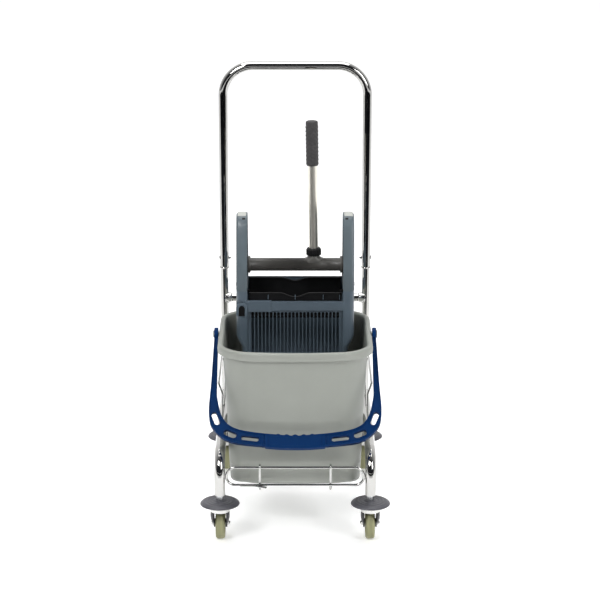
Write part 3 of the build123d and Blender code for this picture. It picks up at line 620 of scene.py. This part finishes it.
def make_housing_cap(side, node, name):
    """The pale cap that lies along a housing's crest."""
    crest = curve_through([(243, 723.4), (252, 727), (262, 728), (274, 726), (285, 722), (299, 706), (302, 699)], 6)
    section = [(115.5, -3), (115.5, -0.6), (117, 0.7), (132.5, 0.7), (134.6, 0.1), (136, -0.9), (136, -3)]
    loops = []
    for i, (y, z) in enumerate(crest):
        before, after = crest[max(0, i - 1)], crest[min(len(crest) - 1, i + 1)]
        run = Vector((after[0] - before[0], after[1] - before[1])).normalized()
        loops.append([at(side * x, y - run.y * lift, z + run.x * lift) for x, lift in section])
    bm = bmesh.new()
    bridge(bm, loops)
    piece("housing_cap_" + name, mesh_of(bm, "housing_cap_" + name), node, wears="cap_plastic")


def make_housing_slot(side, node, name):
    """The small slot in a housing's front slope, just below its cap, drawn as a slightly raised near-black patch whose
    black is painted shade.
    """
    centre = at(side * 121.5, 236.5, 718.5)
    across, slope, out = Vector((1, 0, 0)), Vector((0, 0.64, 0.77)), Vector((0, -0.77, 0.64))
    corners = [(-3.8, -2.6), (3.8, -2.6), (3.8, 2.6), (-3.8, 2.6)]
    bm = bmesh.new()
    # A thin near-black patch stands on the slope where the slot looks dark: painted shade.
    bridge(bm, [[centre + ((across * u + slope * v) * shrink + out * lift) * MM for u, v in corners]
                for lift, shrink in ((-1.0, 1.0), (0.2, 1.0), (0.4, 0.86))])
    piece("housing_slot_shade_patch_" + name, mesh_of(bm, "housing_slot_shade_patch_" + name), node, wears="press_plastic")


def make_housings():
    for name, side in SIDES.items():
        node = "rack_housing_" + name
        make_housing_shell(side, node, name)
        make_housing_cap(side, node, name)
        make_housing_slot(side, node, name)


def plate_section(hinge_y, top, low):
    """Cross section of a press plate in (Y, Z), with a thickened lip along its top edge."""
    near, far = hinge_y - 2.5, hinge_y + 2.5
    return [(near, low), (near, top - 3.4), (near - 0.9, top - 2.6), (near - 1.0, top - 0.8), (near - 0.2, top),
            (near + 1.2, top), (near + 1.6, top - 1.0), (near + 1.7, top - 5), (far, top - 8), (far, low)]


def make_press_plates():
    """The two black plates, each with a dip in its top edge, a hinge barrel and its cam pins."""
    hinge_z, half_length, steps = 489, 109, 110
    for name, hinge_y, top, depth, half_width in (("front", 207, 547, 10, 38), ("rear", 321, 553.5, 8, 36)):
        bm = bmesh.new()
        loops = []
        for i in range(steps + 1):
            x = -half_length + 2 * half_length * i / steps
            dip = depth * (0.5 + 0.5 * cos(pi * min(1.0, abs(x) / half_width)))
            loops.append([at(x, y, z) for y, z in plate_section(hinge_y, top - dip, hinge_z)])
        bridge(bm, loops)
        barrel = [(-half_length, 3.06), (-half_length, 4.5), (half_length, 4.5), (half_length, 3.06)]
        lathe(bm, at(0, hinge_y, hinge_z), (1, 0, 0), barrel, 24)
        pin = [(106, 0), (106, 3), (137.4, 3), (138, 2.4), (138, 0)]
        for side in (-1, 1):
            lathe(bm, at(0, hinge_y, hinge_z + 30), (side, 0, 0), pin, 24)
        plate = name + "_press_plate"
        piece(name + "_plate", mesh_of(bm, name + "_plate"), plate, hides=(plate,))
    bm = bmesh.new()
    for x in (-64, 0, 66, 105):
        rib = [(x - 0.9, 0), (x - 0.7, -2.6), (x + 0.7, -2.6), (x + 0.9, 0)]
        bridge(bm, [[at(u, 204.6 + v, z) for u, v in rib] for z in (530.5, 536, 541.5)])
    piece("plate_ribs", mesh_of(bm, "plate_ribs"), "front_press_plate", wears="wringer_plastic")


def make_lever():
    """The press shaft with the lever's flared neck, the knurled nut, and the knobbed grip."""
    foot = at(44.5, SHAFT_Y, SHAFT_Z)
    lean = radians(0.95)
    up, forward = Vector((-sin(lean), 0, cos(lean))), Vector((0, 1, 0))
    across = up.cross(forward)
    half = [(0, 15.5), (106, 15.5), (107, 16.2), (107, 19.4), (108, 20), (113, 20), (114, 19.4), (114, 9), (138, 8),
            (138, 0.01), (0, 0.01)]
    neck = [(8, 27), (14.4, 26), (15.6, 21.5), (17, 18), (18.6, 15.8), (20.6, 14.4), (23, 13.8)]
    turns = [tau * i / 64 for i in range(64)]
    bm = bmesh.new()
    for side in (-1, 1):
        lathe(bm, at(0, SHAFT_Y, SHAFT_Z), (side, 0, 0), half, 64)
    loops = []
    for height, wide in neck:
        deep = min(wide, 15.2)
        loops.append([foot + (up * height + across * wide * cos(turn) + forward * deep * sin(turn)) * MM
                      for turn in turns])
    bridge(bm, loops)
    piece("shaft_and_neck", mesh_of(bm, "shaft_and_neck"), "press_shaft", hides=("press_shaft",),
          wears="shaft_plastic")

    nut = [(23.2, 13.6), (23.2, 15.2), (24.4, 16.6), (26, 17), (37, 17), (39.4, 16.4), (41.6, 14.6), (42, 11.4),
           (41, 11.2)]
    bm = bmesh.new()
    lathe(bm, foot, up, nut, 144, lambda along, turn: 0.9 * cos(22 * turn) if 24 < along < 39 else 0)
    piece("knurled_nut", mesh_of(bm, "knurled_nut"), "collar_nut", hides=("collar_nut",))

    first, last, spacing = 246, 338, 9.7
    grip = [(241.8, 11.05), (241.8, 13.6), (242.6, 14.2)] + [(244 + 1.2 * i, 14.3) for i in range(80)]
    grip += [(341.5, 14.4), (345.5, 14.2), (347.3, 13), (348, 11), (348, 0.01), (341.3, 0.01), (341.3, 11.05)]

    def knobs(along, turn):
        if not first < along < last:
            return 0
        return 1.1 * max(0.0, cos(tau * (along - first) / spacing) * cos(8 * turn)) ** 0.8

    bm = bmesh.new()
    lathe(bm, foot, up, grip, 128, knobs)
    piece("grip_sleeve", mesh_of(bm, "grip_sleeve"), "lever_grip", hides=("lever_grip",), smooth=60)


# ---------------------------------------------------------------- casters
def make_casters():
    """Ridged bumper discs, tyres, and forks with a bright crown over near-black cheeks, whose black is painted
    reflection.
    """
    disc_z, crown_z = 95, 77.5
    disc = [(0.4, 6.5), (9.4, 6.5), (9.6, 11.5), (9.0, 13.5), (8.4, 15), (8.3, 20), (8.6, 21), (8.2, 22), (7.9, 28),
            (8.2, 29), (7.7, 30), (7.0, 36), (7.2, 37), (6.6, 38), (5.2, 41.5), (3.6, 44), (1.8, 45.6), (0.7, 46),
            (0.1, 45.4), (0.4, 43), (3, 39), (4.2, 34), (4.6, 16)]
    tyre = [(0, 37.5), (4, 37.4), (7, 37.0), (9.4, 35.8), (10.7, 33.8), (11, 31), (11, 27), (8, 25.2), (0, 25.2)]
    tyre += [(-along, radius) for along, radius in reversed(tyre[1:-1])]
    for name in CORNERS:
        node = "bumper_disc_" + name
        centre = middle(node)
        bm = bmesh.new()
        lathe(bm, (centre.x, centre.y, disc_z * MM), (0, 0, 1), disc, 96)
        piece("disc_" + name, mesh_of(bm, "disc_" + name), node, hides=(node,))
        node = "wheel_tyre_" + name
        bm = bmesh.new()
        lathe(bm, middle(node), (1, 0, 0), tyre, 96)
        piece("tyre_" + name, mesh_of(bm, "tyre_" + name), node, hides=(node,))
        softened("caster_fork_" + name, 0.5, part="crown", slab=(crown_z, True))
        # Below the crown the chrome cheeks wear near-black plastic: painted dark reflection in place of chrome.
        softened("caster_fork_" + name, 0.5, "guard_plastic", part="cheeks_painted_reflection", slab=(crown_z, False), hides=False)
        softened("axle_bolt_" + name, 0.5)
        # The near-black shrouds beside the tyre's top are dark pieces where the forks show shade and dark reflection:
        # painted shade and reflection.
        softened("fork_shrouds_" + name, 0.6)


def make_wire_ends():
    """The cradle wires' hooked ends on the front loop, and the loop's own free end."""
    bm = bmesh.new()
    for x in (-82, 82):
        tube(bm, rounded_path([at(x, 6, 176), at(x, 6, 190), at(x, -5.5, 190), at(x, -5.5, 183)], 4), 2.4, 16)
    tube(bm, rounded_path([at(-128, -4.5, 141), at(-96, -5, 141), at(-66, -6, 136)], 30), 2.6, 16)
    piece("wire_ends", mesh_of(bm, "wire_ends"), "front_wire_loop")


def make_handle_rings():
    """The rolled lower ends of the push handle, where it slips over the rear posts."""
    bm = bmesh.new()
    ring = [(-2.2, 9.6), (-2.2, 10.6), (-1.2, 11.7), (0, 12.1), (1.2, 11.7), (2.2, 11), (2.2, 9.6)]
    for side in (-1, 1):
        lathe(bm, at(side * 175, 460, 540), (0, 0, 1), ring, 48)
    piece("handle_rings", mesh_of(bm, "handle_rings"), "push_handle")


materials = make_materials()
bpy.context.scene.view_settings.view_transform = "Standard"
make_camera()
make_world()
make_stage()
area_light("key_light", (-1.7, -3.0, 3.0), target=(0, 0, 0.5), size=(1.4, 1.4), power=88)
area_light("fill_light", (2.2, -2.6, 2.0), target=(0, 0, 0.5), size=(0.9, 1.8), power=52)
area_light("top_light", (0, 0.2, 3.4), target=(0, 0, 0.4), size=(2.4, 2.4), power=60)

for name, node in nodes.items():
    node.data.materials.clear()
    node.data.materials.append(materials[slot_of[name]])

make_bucket()
make_bail()
softened("wringer_basket", 1.4)
make_grate_borders()
softened("handle_clip", 0.8)
make_clip_eye()
make_housings()
make_press_plates()
make_lever()
make_casters()
make_wire_ends()
make_handle_rings()
for name in ("cross_tube_collars", "bail_pivots", "handle_screws", "handle_nuts", "housing_screws", "leg_sockets"):
    softened(name, 0.4)
